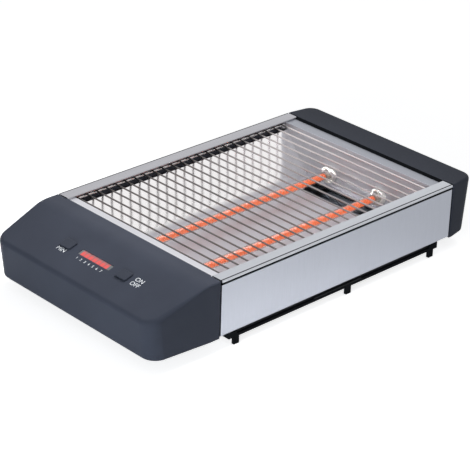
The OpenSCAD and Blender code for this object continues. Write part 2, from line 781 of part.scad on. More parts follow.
module plunger(y) color([0.10, 0.10, 0.10]) on_slope()
  translate([-control_row, y * key_spread, -stem_end - plunger_len])
  cylinder(d = plunger_d, h = plunger_len);

module key_switches() color([0.16, 0.16, 0.17]) on_slope() for (y = [-1, 1])
  translate([-control_row, y * key_spread, -board_depth]) difference() {
    translate([-switch_size / 2, -switch_size / 2, 0]) cube([switch_size, switch_size, switch_h]);
    translate([0, 0, switch_h + plunger_rest - plunger_len - key_travel - end_play])
      cylinder(d = plunger_d + 2 * slip, h = switch_h);
  }

module display_window() color([0.35, 0.12, 0.12, 0.6]) on_slope() translate([-control_row, 0, 0]) {
  plate(window_l, window_w, window_corner, -wall - slip, -window_sink);
  plate(window_l + 2 * window_lip, window_w + 2 * window_lip, window_corner,
    -wall - window_flange, -wall);
}

module display_block() color([0.12, 0.12, 0.12]) on_slope() translate([-control_row, 0, 0])
  plate(window_l, bar_count * bar_pitch, window_corner, -board_depth, -block_top);

module display_bars() color([0.95, 0.20, 0.15]) on_slope() for (k = [0:bar_count - 1])
  translate([-control_row, (k - (bar_count - 1) / 2) * bar_pitch, 0])
  plate(bar_l, bar_w, bar_corner, -block_top, bar_h - block_top);

module control_board() color([0.10, 0.32, 0.18]) on_slope() translate([-control_row, 0, 0]) difference() {
  plate(board_l, board_w, 2, -board_depth - board_t, -board_depth);
  for (x = [-1, 1], y = [-1, 1]) translate([x * board_hole[0], y * board_hole[1], -board_depth - 5])
    cylinder(d = board_screw_d + hole_clear, h = 8);
}

module power_board() color([0.10, 0.32, 0.18]) translate([x_power, power_y, z_power]) difference() {
  plate(power_l, power_w, 2, 0, board_t);
  for (x = [-1, 1], y = [-1, 1]) translate([x * power_hole[0], y * power_hole[1], -1])
    cylinder(d = board_screw_d + hole_clear, h = 5);
}

module board_screws() color([0.60, 0.61, 0.62]) {
  on_slope() for (x = [-1, 1], y = [-1, 1])
    translate([-control_row + x * board_hole[0], y * board_hole[1], -board_depth - board_t])
    screw(board_screw_d, board_head_d, board_head_h, board_screw_len);
  for (x = [-1, 1], y = [-1, 1])
    translate([x_power + x * power_hole[0], power_y + y * power_hole[1], z_power + board_t])
    mirror([0, 0, 1]) screw(board_screw_d, board_head_d, board_head_h, board_screw_len);
}

// A part that stands on the power board, placed from the board's middle
module on_power_board(x, y, size)
  translate([x_power + x - size[0] / 2, power_y + y - size[1] / 2, z_power + board_t]) cube(size);

module relay() color([0.12, 0.20, 0.42]) on_power_board(relay_at[0], relay_at[1], relay_size);

module supply_capacitor() color([0.70, 0.55, 0.15])
  on_power_board(capacitor_at[0], capacitor_at[1], capacitor_size);

module terminal_block() color([0.88, 0.87, 0.83])
  on_power_board(power_l / 2 - block_size[0] / 2 - block_edge, block_y - power_y, block_size);

// The seat of the cord gland, with Z out of the housing's rear side
module on_gland(depth) translate([x_gland, y_seat - depth, z_gland]) rotate([-90, 0, 0]) children();

module cord_gland() color([0.08, 0.08, 0.08]) on_gland(0) difference() {
  union() {
    cylinder(d = gland_flange_d, h = gland_flange_t);
    translate([0, 0, -gland_len]) cylinder(d = gland_d, h = gland_len + slip);
  }
  translate([0, 0, -gland_len - 1]) cylinder(d = gland_bore, h = gland_len + gland_flange_t + 2);
}

module gland_nut() color([0.08, 0.08, 0.08])
  on_gland(wall - gland_sink + gland_nut_gap + gland_nut_t) difference() {
    cylinder(d = gland_nut_d, h = gland_nut_t, $fn = 6);
    translate([0, 0, -1]) cylinder(d = gland_d + screw_gap, h = gland_nut_t + 2);
  }

control_housing();
far_housing();
side_panel(-1);  // front_panel
side_panel(1);  // rear_panel
top_rail(-1);  // front_rail
top_rail(1);  // rear_rail
end_plate(x_wall_near, x_near + end_play, -1);  // near_end_plate
end_plate(x_wall_far, x_far - strip_gap, 1);  // far_end_plate
reflector();
wire_rack();
quartz_tube(-tube_y);  // front_quartz_tube
quartz_tube(tube_y);  // rear_quartz_tube
heating_coil(-tube_y);  // front_heating_coil
heating_coil(tube_y);  // rear_heating_coil
tube_ceramics(-tube_y);  // front_tube_ceramics
tube_ceramics(tube_y);  // rear_tube_ceramics
tube_terminals();
tube_link_wire();
heater_leads();
thermal_cutout();
base_pan();
base_screws();
housing_screws();
crumb_tray();
key(1);  // timer_key
plunger(1);  // timer_plunger
key(-1);  // start_key
plunger(-1);  // start_plunger
key_switches();
display_window();
display_block();
display_bars();
control_board();
board_screws();
power_board();
relay();
supply_capacitor();
terminal_block();
cord_gland();
gland_nut();
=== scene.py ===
import math

import bmesh
import bpy
from bpy.props import FloatProperty, FloatVectorProperty, IntProperty, PointerProperty
from mathutils import Matrix, Vector


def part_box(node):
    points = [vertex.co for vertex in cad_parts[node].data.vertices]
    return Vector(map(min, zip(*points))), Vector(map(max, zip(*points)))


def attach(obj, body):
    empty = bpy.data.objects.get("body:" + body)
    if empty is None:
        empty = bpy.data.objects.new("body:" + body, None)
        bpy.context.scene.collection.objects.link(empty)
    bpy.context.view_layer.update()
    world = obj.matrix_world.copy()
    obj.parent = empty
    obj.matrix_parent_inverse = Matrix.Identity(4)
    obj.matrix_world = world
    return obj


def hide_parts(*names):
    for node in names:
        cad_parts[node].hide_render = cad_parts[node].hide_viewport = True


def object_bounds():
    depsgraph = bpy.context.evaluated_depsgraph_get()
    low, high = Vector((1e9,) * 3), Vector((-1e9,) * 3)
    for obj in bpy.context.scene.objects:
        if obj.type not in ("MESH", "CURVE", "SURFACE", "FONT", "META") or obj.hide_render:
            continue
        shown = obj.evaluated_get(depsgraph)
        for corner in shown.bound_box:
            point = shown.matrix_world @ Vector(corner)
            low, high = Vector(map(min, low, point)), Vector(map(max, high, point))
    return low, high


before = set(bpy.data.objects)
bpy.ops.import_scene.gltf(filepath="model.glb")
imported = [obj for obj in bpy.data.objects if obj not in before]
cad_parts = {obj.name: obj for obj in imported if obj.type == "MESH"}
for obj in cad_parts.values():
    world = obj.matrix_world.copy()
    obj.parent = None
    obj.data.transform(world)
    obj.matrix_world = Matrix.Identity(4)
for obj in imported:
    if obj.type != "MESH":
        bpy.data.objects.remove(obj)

bl_info = {
    "name": "Flat toaster",
    "version": (1, 0, 0),
    "blender": (4, 5, 0),
    "location": "View3D > Sidebar > Toaster",
    "description": "Dresses the packed frame of a flat toaster with finishes and fine parts",
    "category": "Object",
}

CAD_BOX = [list(corner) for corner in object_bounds()]
MM = 0.001
BODY = "body"
SHARP_ANGLE = 35.0
SIDES = ("front", "rear")
ALONG = Vector((1.0, 0.0, 0.0))
ACROSS = Vector((0.0, 1.0, 0.0))

# A rail, at the box's side and top: its groove, shadow line and web behind the outer face, and its folded top
RAIL_FACE = CAD_BOX[1][1]
RAIL_TOP = CAD_BOX[1][2]
RAIL_GROOVE = 1.4 * MM
GROOVE_REACH = 0.6 * MM
RAIL_SHADOW = 2.0 * MM
RAIL_WEB = 5.9 * MM
RAIL_FOLD = 2.6 * MM

# The end plates' top flanges lie a little below the rails, and the far housing's edge leans away from one
FLANGE_DROP = 2.3 * MM
JOINT_LEAN = 2.7 * MM

# The trough: its floor, and the bend from the floor into the walls
FLOOR_LEVEL = 19.2 * MM
FLOOR_BEND = (0.5 * MM, 5.0 * MM)

# The control face: its crease beside the flat strip, its slope, and the row of keys and bars down it
FACE_CREASE = Vector((-140.0 * MM, 0.0, RAIL_TOP))
FACE_SLOPE = math.radians(16.5)
FACE = Matrix.Translation(FACE_CREASE) @ Matrix.Rotation(-FACE_SLOPE, 4, "Y")
CONTROL_ROW = -29.2 * MM

# The lit bars: their spacing, the middle of their row, its reach each way in bars, and the fade up the slope
BAR_PITCH = 5.2 * MM
BAR_MIDDLE = 0.6 * MM
BAR_REACH = 3.36
BAR_FADE = (0.2 * MM, 2.6 * MM)

# A key: half its cap and half its flange down and across the slope, and their levels from the face
KEY_ASIDE = 37.0 * MM
KEY_CAP = (5.0 * MM, 6.75 * MM)
KEY_FLANGE = (6.2 * MM, 7.95 * MM)
KEY_TOP = 1.5 * MM
KEY_CAP_FOOT = -2.8 * MM
KEY_FLANGE_TOP = -2.7 * MM
KEY_FLANGE_FOOT = -3.9 * MM
KEY_STEM_FOOT = -6.9 * MM
KEY_STEM_RADIUS = 2.5 * MM
KEY_CORNER = 1.5 * MM
KEY_EDGE = 0.5 * MM

# The print: a capital's share of the font size, and places down the slope and across the housing
CAPITAL_SHARE = 0.7
DIGITS = 7
DIGIT_DOWN = -37.0 * MM
DIGIT_FIRST = 16.4 * MM
DIGIT_PITCH = 5.27 * MM
LABELS = (
    ("MIN", -37.2 * MM, 37.6 * MM),
    ("ON", -26.4 * MM, -54.0 * MM),
    ("OFF", -32.2 * MM, -54.0 * MM),
)

# The rack: its first and last wire, its rods each side of the middle, and the reach of a weld
FIRST_WIRE = -111.0 * MM
LAST_WIRE = 145.5 * MM
ROD_ASIDE = 97.5 * MM
ROD_END = 0.5 * MM
WELD_REACH = (1.3 * MM, 1.2 * MM, 0.7 * MM)

# Painted on the rack: a brighter reflection between two places along the body, and shadow between two across
# it
WIRE_PAINTED_REFLECTION = (-40.0 * MM, 145.0 * MM)
WIRE_PAINTED_SHADOW = (82.0 * MM, 90.0 * MM)

# The tubes' rounded lips, and the plugs in their ends
TUBE_LIP = 0.25 * MM
PLUG_EDGE = 0.8 * MM
PLUG_TO_COIL = 1.0 * MM
PLUG_CLEARANCE = 0.2 * MM

# The lip that closes the base at the far end
LIP_HALF = 62.0 * MM
LIP_LEVELS = (12.6 * MM, 13.4 * MM)
LIP_OVERLAP = 0.2 * MM
LIP_REACH = 4.0 * MM
LIP_CORNER = 0.3 * MM
LIP_EDGE = 0.2 * MM

# How strokes are drawn out on brushed and rolled sheet: noise per metre along X, Y and Z
UPRIGHT_STROKES = (3200.0, 3200.0, 60.0)
LONG_STROKES = (60.0, 3200.0, 3200.0)
PLATE_STROKES = (3000.0, 3000.0, 60.0)
ROLLED_STROKES = (90.0, 2600.0, 2600.0)

# Slow changes of tone on steel and on plastic, in noise per metre
STEEL_CLOUDS = 14.0
PLASTIC_CLOUDS = 22.0

# Shades that belong to a finish and aren't set by the user, among them painted shadow and painted shade
# Painted shadow in a rail's groove and behind its shadow line, and painted shade on the inside of its web
GROOVE_PAINTED_SHADOW = (0.02, 0.02, 0.022)
WEB_PAINTED_SHADE = (0.25, 0.25, 0.30)
# Painted shadow on the wires' rear ends under the rear rail
PAINTED_RAIL_SHADOW = (0.02, 0.018, 0.018)
BROWNED_SHADE = (0.20, 0.12, 0.07)
STRAW_SHADE = (0.55, 0.45, 0.38)
SMOKE_DARK = (0.12, 0.125, 0.13)
SMOKE_LIGHT = (0.15, 0.155, 0.16)
HOT_WIRE = (0.86, 0.25, 0.10)
HOT_BAR = (1.0, 0.30, 0.26)
UNLIT = (0.0, 0.0, 0.0)
WHITE = (1.0, 1.0, 1.0)

# The stage: the tint of its cool lamps and its sky, its paper, and what lifts the paper where it is seen
LAMP_TINT = (0.84, 0.92, 1.0)
SKY_TINT = (0.97, 0.98, 1.0)
PAPER_SHADE = (0.80, 0.80, 0.80)
PAPER_LIFT = 0.60
PAPER_LIFT_SEEN = 0.18


# Settings

def measure(name, text, value, low, high, precision=5):
    return FloatProperty(
        name=name, description=text, default=value, min=low, max=high, unit="LENGTH", precision=precision)


def colour(name, text, value):
    return FloatVectorProperty(
        name=name, description=text, default=value, min=0.0, max=1.0, size=3, subtype="COLOR")


def brightness(name, text, value, high):
    return FloatProperty(name=name, description=text, default=value, min=0.0, max=high)


def wattage(name, text, value, high):
    return FloatProperty(name=name, description=text, default=value, min=0.0, max=high, unit="POWER")


class ToasterSizes(bpy.types.PropertyGroup):
    wire_diameter: measure(
        "Rack wire", "Diameter of a cross wire of the rack", 1.6 * MM, 1.0 * MM, 3.0 * MM)
    rod_diameter: measure(
        "Rack rod", "Diameter of the two long rods under the wires", 2.5 * MM, 1.0 * MM, 4.0 * MM)
    wire_count: IntProperty(
        name="Wires", description="Number of cross wires in the rack", default=24, min=2, max=40)
    coil_turns: IntProperty(
        name="Curls", description="Number of curls in a heating spiral", default=120, min=45, max=160)
    coil_wide: measure(
        "Spiral wire width", "Width of the spiral's wire along the tube", 1.3 * MM, 0.5 * MM, 4.0 * MM)
    coil_thick: measure(
        "Spiral wire thickness", "Thickness of the spiral's wire", 1.1 * MM, 0.5 * MM, 2.0 * MM)
    tube_wall: measure(
        "Tube wall", "Wall of a quartz tube", 0.8 * MM, 0.4 * MM, 1.5 * MM)
    letter_height: measure(
        "Letter height", "Size of the printed letters on the control face", 4.4 * MM, 1.0 * MM, 8.0 * MM)
    digit_height: measure(
        "Digit height", "Size of the printed numbers under the display", 2.7 * MM, 1.0 * MM, 8.0 * MM)
    print_thickness: measure(
        "Print thickness", "Thickness of the printed ink", 0.04 * MM, 0.01 * MM, 0.2 * MM, precision=6)


class ToasterFinishes(bpy.types.PropertyGroup):
    housing: colour("Housing", "Plastic of both end housings", (0.045, 0.0505, 0.068))
    key: colour("Keys", "Plastic of the two keys", (0.042, 0.047, 0.062))
    panel: colour("Panels", "Brushed steel of the side panels", (0.445, 0.465, 0.52))
    # The two rails are one steel: the rear rail's darker copy of it is painted shade
    rail: colour("Front rail", "Brushed steel of the front top rail", (0.53, 0.55, 0.59))
    rear_rail: colour("Rear rail", "Brushed steel of the rear top rail", (0.445, 0.445, 0.475))
    end_plate: colour("End plates", "Rolled steel of the end plates", (0.70, 0.70, 0.74))
    # Painted shade from the far housing's step: a darker copy of the end plates' steel
    far_flange_painted_shade: colour("Far flange", "Top flange of the far end plate", (0.38, 0.395, 0.44))
    reflector: colour("Reflector", "Polished walls of the trough", (0.90, 0.88, 0.885))
    reflector_floor: colour("Reflector floor", "Floor of the trough, dulled by heat", (0.72, 0.72, 0.765))
    # The wires' dark tone is a painted dark reflection under heat stains, and the far tone a painted bright
    # reflection
    wire: colour("Rack wire", "Cross wires of the rack, browned by heat", (0.165, 0.150, 0.150))
    wire_far_reflection: colour("Far wire", "Cross wires of the rack at the far end", (0.74, 0.69, 0.69))
    rod: colour("Rack rod", "Plated rods under the wires", (0.66, 0.64, 0.63))
    glow: colour("Glow", "Hot spirals in the tubes", (0.66, 0.095, 0.030))
    lamp_red: colour("Display red", "Lit bars of the display", (0.78, 0.085, 0.080))
    base: colour("Base", "Base moulding and crumb tray", (0.010, 0.011, 0.013))
    print_ink: colour("Print", "Printed numbers and letters", (0.78, 0.80, 0.82))
    glow_strength: brightness("Glow strength", "Brightness of the hot spirals", 0.92, 10.0)
    lamp_strength: brightness("Display strength", "Brightness of the lit bars", 0.5, 10.0)


class ToasterStage(bpy.types.PropertyGroup):
    lens: FloatProperty(
        name="Lens", description="Focal length of the camera on a 36 mm sensor",
        default=147.18, min=10.0, max=500.0, unit="CAMERA")
    sky_level: brightness("Sky level", "Light of the surroundings on the object", 0.28, 2.0)
    key_power: wattage("Key lamp", "Power of the hooded lamp over the far end", 0.6, 100.0)
    fill_power: wattage("Fill lamp", "Power of the lamp at the near corner", 5.0, 100.0)
    end_power: wattage("End lamp", "Power of the hooded lamp on the control housing's end", 0.2, 10.0)
    trough_power: wattage(
        "Trough lamp", "Power of the narrow lamp into the far end of the trough", 0.115, 10.0)
    floor_size: measure("Floor", "Length of a side of the floor", 9.0, 1.0, 40.0)


# Node trees

def toned(shade, factor=1.0):
    """A shade made darker or lighter, as a colour with its alpha."""
    return tuple(min(1.0, part * factor) for part in shade[:3]) + (1.0,)


class Nodes:
    """Builds one node tree."""

    def __init__(self, tree):
        self.tree = tree

    def add(self, kind, inputs=None, **settings):
        made = self.tree.nodes.new("ShaderNode" + kind)
        for name, value in settings.items():
            setattr(made, name, value)
        for name, value in (inputs or {}).items():
            self.put(made.inputs[name], value)
        return made

    def put(self, socket, value):
        if isinstance(value, bpy.types.NodeSocket):
            self.tree.links.new(value, socket)
        else:
            socket.default_value = value

    def math(self, operation, a, b=0.0, c=0.0):
        return self.add("Math", {0: a, 1: b, 2: c}, operation=operation).outputs[0]

    def span(self, value, low, high, start=0.0, end=1.0):
        """Runs from low to high while a value runs from start to end."""
        return self.add("MapRange", {
            "Value": value, "From Min": start, "From Max": end, "To Min": low, "To Max": high}).outputs[0]

    def mask(self, value, start, end):
        """Runs from 0 to 1 while a value runs from start to end."""
        return self.span(value, 0.0, 1.0, start, end)

    def mix(self, factor, a, b):
        return self.add("Mix", {0: factor, 6: a, 7: b}, data_type="RGBA").outputs[2]

    def tones(self, factor, shade, dark, light):
        """Runs from a darker to a lighter tone of one shade."""
        return self.mix(factor, toned(shade, dark), toned(shade, light))

    def noise(self, place, scale, detail, rough=0.5):
        return self.add("TexNoise", {
            "Vector": place, "Scale": scale, "Detail": detail, "Roughness": rough}).outputs["Fac"]

    def place(self):
        return self.add("TexCoord").outputs["Object"]

    def axes(self):
        return self.add("SeparateXYZ", {0: self.place()}).outputs

    def bump(self, height, distance, strength):
        return self.add("Bump", {"Height": height, "Distance": distance, "Strength": strength}).outputs[0]

    def group(self, name, **inputs):
        made = self.tree.nodes.new("ShaderNodeGroup")
        made.node_tree = GROUPS[name]
        for label, value in inputs.items():
            self.put(made.inputs[label], value)
        return made.outputs


def emptied(owner):
    """The emptied node tree of a material or a world."""
    owner.use_nodes = True
    owner.node_tree.nodes.clear()
    return Nodes(owner.node_tree)


GROUPS = {}


def new_group(name, kind, label, value, outputs):
    """A node group with one input, given as its socket's kind, label and value."""
    tree = bpy.data.node_groups.new(name, "ShaderNodeTree")
    socket = tree.interface.new_socket(label, in_out="INPUT", socket_type="NodeSocket" + kind)
    socket.default_value = value
    for output in outputs:
        tree.interface.new_socket(output, in_out="OUTPUT", socket_type="NodeSocketFloat")
    GROUPS[name] = tree
    given = tree.nodes.new("NodeGroupInput").outputs[label]
    return Nodes(tree), given, tree.nodes.new("NodeGroupOutput").inputs


def group_brushed_lines():
    """Fine parallel strokes and a slow change of tone."""
    n, stretch, out = new_group("brushed_lines", "Vector", "Stretch", (1.0, 1.0, 1.0), ["Lines", "Clouds"])
    place = n.place()
    drawn = n.add("VectorMath", {0: place, 1: stretch}, operation="MULTIPLY").outputs[0]
    n.put(out["Lines"], n.mask(n.noise(drawn, 1.0, detail=4.0, rough=0.7), start=0.28, end=0.72))
    n.put(out["Clouds"], n.mask(n.noise(place, STEEL_CLOUDS, detail=2.0), start=0.3, end=0.7))


def group_moulded_grain():
    """The fine sparkle of a textured mould, and a slow change of tone."""
    n, size, out = new_group("moulded_grain", "Float", "Size", 0.4 * MM, ["Grain", "Clouds"])
    place = n.place()
    scale = n.math("DIVIDE", 1.0, size)
    n.put(out["Grain"], n.mask(n.noise(place, scale, detail=2.0, rough=0.6), start=0.25, end=0.75))
    n.put(out["Clouds"], n.mask(n.noise(place, PLASTIC_CLOUDS, detail=3.0), start=0.3, end=0.7))


def group_stains():
    """Stains left by heat and crumbs."""
    n, size, out = new_group("stains", "Float", "Size", 8.0 * MM, ["Stain"])
    blot = n.noise(n.place(), n.math("DIVIDE", 1.0, size), detail=5.0, rough=0.6)
    n.put(out["Stain"], n.mask(blot, start=0.52, end=0.75))


def group_lit_bars():
    """A row of lit bars across the control face, fading up the slope."""
    n, pitch, out = new_group("lit_bars", "Float", "Pitch", BAR_PITCH, ["Bars"])
    from_crease = n.add("VectorMath", {0: n.place(), 1: FACE_CREASE}, operation="SUBTRACT").outputs[0]
    spot = n.add("SeparateXYZ", {0: from_crease}).outputs
    rise = n.math("MULTIPLY", spot["Z"], math.sin(FACE_SLOPE))
    down = n.math("MULTIPLY_ADD", spot["X"], math.cos(FACE_SLOPE), rise)
    bars = n.math("DIVIDE", n.math("SUBTRACT", spot["Y"], BAR_MIDDLE), pitch)
    inside = n.math("LESS_THAN", n.math("ABSOLUTE", bars), BAR_REACH)
    share = n.math("FRACT", n.math("ADD", bars, 0.5))
    off_middle = n.math("ABSOLUTE", n.math("SUBTRACT", share, 0.5))
    bar = n.span(off_middle, 1.0, 0.5, start=0.30, end=0.42)
    fade = n.span(down, 1.0, 0.3, start=CONTROL_ROW + BAR_FADE[0], end=CONTROL_ROW + BAR_FADE[1])
    n.put(out["Bars"], n.math("MULTIPLY", inside, n.math("MULTIPLY", bar, fade)))


# Finishes

FINISHES = {}


def new_finish(name):
    """Starts a finish under its name, and gives its nodes and its shader's sockets."""
    FINISHES[name] = bpy.data.materials.new(name)
    n = emptied(FINISHES[name])
    out = n.add("OutputMaterial")
    shader = n.add("BsdfPrincipled")
    n.put(out.inputs["Surface"], shader.outputs[0])
    return n, shader.inputs


def plastic(name, shade, rough=(0.42, 0.56), grain=0.45 * MM, depth=0.03 * MM, gloss=0.06):
    """Moulded plastic, and what is as matt and finely grained: ceramic, enamel, sleeves and ink."""
    n, shader = new_finish(name)
    n.put(shader["Specular IOR Level"], gloss)
    made = n.group("moulded_grain", Size=grain)
    tone = n.tones(made["Clouds"], shade, dark=0.92, light=1.1)
    sparkle = n.math("MULTIPLY", made["Grain"], 0.25)
    n.put(shader["Base Color"], n.mix(sparkle, tone, toned(shade, 1.5)))
    n.put(shader["Roughness"], n.span(made["Grain"], *rough))
    n.put(shader["Normal"], n.bump(made["Grain"], depth, strength=0.6))


def brushed(name, shade, stretch, rough=(0.26, 0.42), metal=1.0):
    """Brushed or rolled steel."""
    n, shader = new_finish(name)
    made = n.group("brushed_lines", Stretch=stretch)
    tone = n.tones(made["Lines"], shade, dark=0.9, light=1.1)
    cloud = n.math("MULTIPLY", made["Clouds"], 0.5)
    n.put(shader["Base Color"], n.mix(cloud, tone, toned(shade, 1.05)))
    n.put(shader["Roughness"], n.span(made["Lines"], *rough))
    n.put(shader["Normal"], n.bump(made["Lines"], 0.01 * MM, strength=0.35))
    n.put(shader["Metallic"], metal)
    n.put(shader["Anisotropic"], 0.4)
    return n, shader


def rail_steel(name, shade):
    """Brushed steel with painted shadow in the groove and behind the shadow line, and painted shade on the
    web's inside.
    """
    n, shader = brushed(name, shade, LONG_STROKES)
    spot = n.axes()
    inward = n.math("SUBTRACT", RAIL_FACE, n.math("ABSOLUTE", spot["Y"]))
    groove = n.math("COMPARE", inward, RAIL_GROOVE, GROOVE_REACH)
    behind = n.math("GREATER_THAN", inward, RAIL_SHADOW)
    below = n.math("LESS_THAN", spot["Z"], RAIL_TOP - RAIL_FOLD)
    # Painted shadow in the groove and behind the shadow line; the web's inside is a matt grey that stands in
    # for its shade
    painted_shade_mask = n.math("MAXIMUM", groove, n.math("MULTIPLY", behind, below))
    inside = n.math("GREATER_THAN", inward, RAIL_WEB)
    dark = n.mix(inside, toned(GROOVE_PAINTED_SHADOW), toned(WEB_PAINTED_SHADE))
    clean = shader["Base Color"].links[0].from_socket
    n.put(shader["Base Color"], n.mix(painted_shade_mask, clean, dark))
    n.put(shader["Metallic"], n.math("SUBTRACT", 1.0, n.math("MULTIPLY", painted_shade_mask, inside)))


def plain_metal(name, shade, rough=(0.25, 0.4), stain=0.0):
    """Plated metal, browned by heat where a share of stain is given."""
    n, shader = new_finish(name)
    made = n.group("moulded_grain", Size=1.2 * MM)
    blot = n.math("MULTIPLY", n.group("stains", Size=9.0 * MM)["Stain"], stain)
    tone = n.tones(made["Clouds"], shade, dark=0.93, light=1.06)
    n.put(shader["Base Color"], n.mix(blot, tone, toned(BROWNED_SHADE)))
    n.put(shader["Roughness"], n.span(made["Grain"], *rough))
    n.put(shader["Metallic"], 1.0)
    return n, shader


def rack_wire(looks):
    """Plated wire with a painted reflection that brightens toward the far end, and painted shadow at its rear
    ends.
    """
    n, shader = plain_metal("rack_wire", looks.wire, rough=(0.16, 0.28), stain=0.3)
    spot = n.axes()
    # Painted reflection, brighter toward the far end, and painted shadow at the rear ends under the rail
    far = n.math("POWER", n.mask(spot["X"], *WIRE_PAINTED_REFLECTION), 2.0)
    painted_shadow = n.span(spot["Y"], 0.0, 0.85, *WIRE_PAINTED_SHADOW)
    # The stained near tone is also a painted dark reflection
    browned = shader["Base Color"].links[0].from_socket
    tone = n.mix(far, browned, toned(looks.wire_far_reflection))
    n.put(shader["Base Color"], n.mix(painted_shadow, tone, toned(PAINTED_RAIL_SHADOW)))


def reflector_sheet(looks):
    """Sheet with polished walls and a floor that heat has dulled."""
    n, shader = new_finish("reflector_sheet")
    made = n.group("brushed_lines", Stretch=ROLLED_STROKES)
    blot = n.math("MULTIPLY", n.group("stains", Size=14.0 * MM)["Stain"], 0.12)
    wall = n.mask(n.axes()["Z"], FLOOR_LEVEL + FLOOR_BEND[0], FLOOR_LEVEL + FLOOR_BEND[1])
    polished = n.tones(made["Lines"], looks.reflector, dark=0.98, light=1.02)
    tone = n.mix(wall, toned(looks.reflector_floor), polished)
    n.put(shader["Base Color"], n.mix(blot, tone, toned(STRAW_SHADE)))
    floor_rough = n.span(made["Lines"], 0.70, 0.78)
    wall_rough = n.span(made["Lines"], 0.11, 0.15)
    n.put(shader["Roughness"], n.span(wall, floor_rough, wall_rough))
    n.put(shader["Normal"], n.bump(made["Clouds"], 0.15 * MM, strength=0.3))
    n.put(shader["Metallic"], 1.0)


def glowing(name, shade, hot, strength, size):
    """A glow whose hottest spots have a shade of their own."""
    n, shader = new_finish(name)
    made = n.group("moulded_grain", Size=size)
    n.put(shader["Base Color"], n.tones(made["Grain"], shade, dark=0.3, light=0.5))
    n.put(shader["Emission Color"], n.mix(made["Grain"], toned(shade, 0.85), toned(hot)))
    n.put(shader["Emission Strength"], strength)
    n.put(shader["Roughness"], n.span(made["Grain"], 0.5, 0.7))


def satin_quartz():
    """Clear quartz with a satin face."""
    n, shader = new_finish("quartz")
    n.put(shader["Specular IOR Level"], 0.05)
    made = n.group("moulded_grain", Size=3.0 * MM)
    n.put(shader["Base Color"], n.tones(made["Clouds"], (1.0, 0.95, 0.92), dark=0.97, light=1.0))
    n.put(shader["Roughness"], n.span(made["Grain"], 0.20, 0.30))
    n.put(shader["Transmission Weight"], 1.0)
    n.put(shader["IOR"], 1.25)


def lit_lens(looks):
    """Smoked plastic that the bars under it light up one beside the other."""
    n, shader = new_finish("display_lens")
    made = n.group("moulded_grain", Size=0.8 * MM)
    bars = n.group("lit_bars", Pitch=BAR_PITCH)["Bars"]
    smoke = n.mix(made["Clouds"], toned(SMOKE_DARK), toned(SMOKE_LIGHT))
    lit = n.tones(made["Grain"], looks.lamp_red, dark=0.92, light=1.08)
    n.put(shader["Base Color"], n.mix(bars, smoke, toned(looks.lamp_red, 0.5)))
    n.put(shader["Emission Color"], n.mix(bars, toned(UNLIT), lit))
    n.put(shader["Emission Strength"], looks.lamp_strength)
    n.put(shader["Roughness"], n.span(made["Grain"], 0.10, 0.2))


def plastic_finishes(looks):
    plastic("housing_plastic", looks.housing)
    plastic("key_plastic", looks.key, rough=(0.34, 0.46), grain=0.35 * MM, depth=0.015 * MM)
    plastic("dark_plastic", (0.02, 0.02, 0.021))
    plastic("base_plastic", looks.base, rough=(0.45, 0.62), grain=0.6 * MM, gloss=0.01)
    plastic("gland_plastic", (0.012, 0.012, 0.013), rough=(0.5, 0.65), grain=0.5 * MM)
    plastic("pale_plastic", (0.62, 0.60, 0.56))
    plastic("relay_case", (0.03, 0.07, 0.20), rough=(0.25, 0.35))
    plastic("capacitor_case", (0.50, 0.32, 0.05), rough=(0.25, 0.35))
    plastic("circuit_board", (0.02, 0.10, 0.05), rough=(0.25, 0.4), grain=2.0 * MM)
    plastic("white_ceramic", (0.80, 0.78, 0.74), rough=(0.55, 0.75), grain=0.7 * MM)
    plastic("lead_sleeve", (0.66, 0.64, 0.58), rough=(0.7, 0.85), grain=0.5 * MM)
    plastic("print_ink", looks.print_ink, rough=(0.5, 0.6), grain=0.3 * MM, depth=0.005 * MM)
    plastic("tray_enamel", looks.base, rough=(0.30, 0.44), grain=1.5 * MM, depth=0.02 * MM, gloss=0.12)


def metal_finishes(looks):
    brushed("brushed_panel", looks.panel, UPRIGHT_STROKES)
    rail_steel("brushed_rail", looks.rail)
    # Painted shade: the rear rail takes a darker copy of the rail steel
    rail_steel("rear_rail", looks.rear_rail)
    brushed("end_plate_steel", looks.end_plate, PLATE_STROKES, rough=(0.38, 0.48))
    brushed("far_wall", looks.end_plate, PLATE_STROKES, rough=(0.62, 0.72), metal=0.93)
    # Painted shade on the far flange
    brushed("far_flange_painted_shade", looks.far_flange_painted_shade, PLATE_STROKES, rough=(0.38, 0.48))
    reflector_sheet(looks)
    # Painted shade on the trough sheet's cut edges and underside below its floor
    plain_metal("underside_painted_shade", (0.06, 0.06, 0.06), rough=(0.5, 0.65))
    rack_wire(looks)
    plain_metal("rack_rod", looks.rod, rough=(0.16, 0.28))
    plain_metal("terminal_metal", (0.50, 0.49, 0.47))
    plain_metal("screw_steel", (0.45, 0.45, 0.46))


def lit_finishes(looks):
    satin_quartz()
    lit_lens(looks)
    glowing("glowing_wire", looks.glow, HOT_WIRE, looks.glow_strength, size=2.0 * MM)
    glowing("display_light", looks.lamp_red, HOT_BAR, looks.lamp_strength, size=1.5 * MM)


def finish_of(slot):
    """A finish by its name. The first call makes them all."""
    if not FINISHES:
        for build in (group_brushed_lines, group_moulded_grain, group_stains, group_lit_bars):
            build()
        for build in (plastic_finishes, metal_finishes, lit_finishes):
            build(bpy.context.scene.toaster_finishes)
    return FINISHES[slot]


# Shaping

def mesh_of(name, bm):
    """Turns a bmesh into a mesh, and frees it."""
    mesh = bpy.data.meshes.new(name)
    bm.to_mesh(mesh)
    bm.free()
    return mesh


def new_object(name, data):
    """Puts a mesh, a lamp, a camera or a text into the scene."""
    made = bpy.data.objects.new(name, data)
    bpy.context.scene.collection.objects.link(made)
    return made


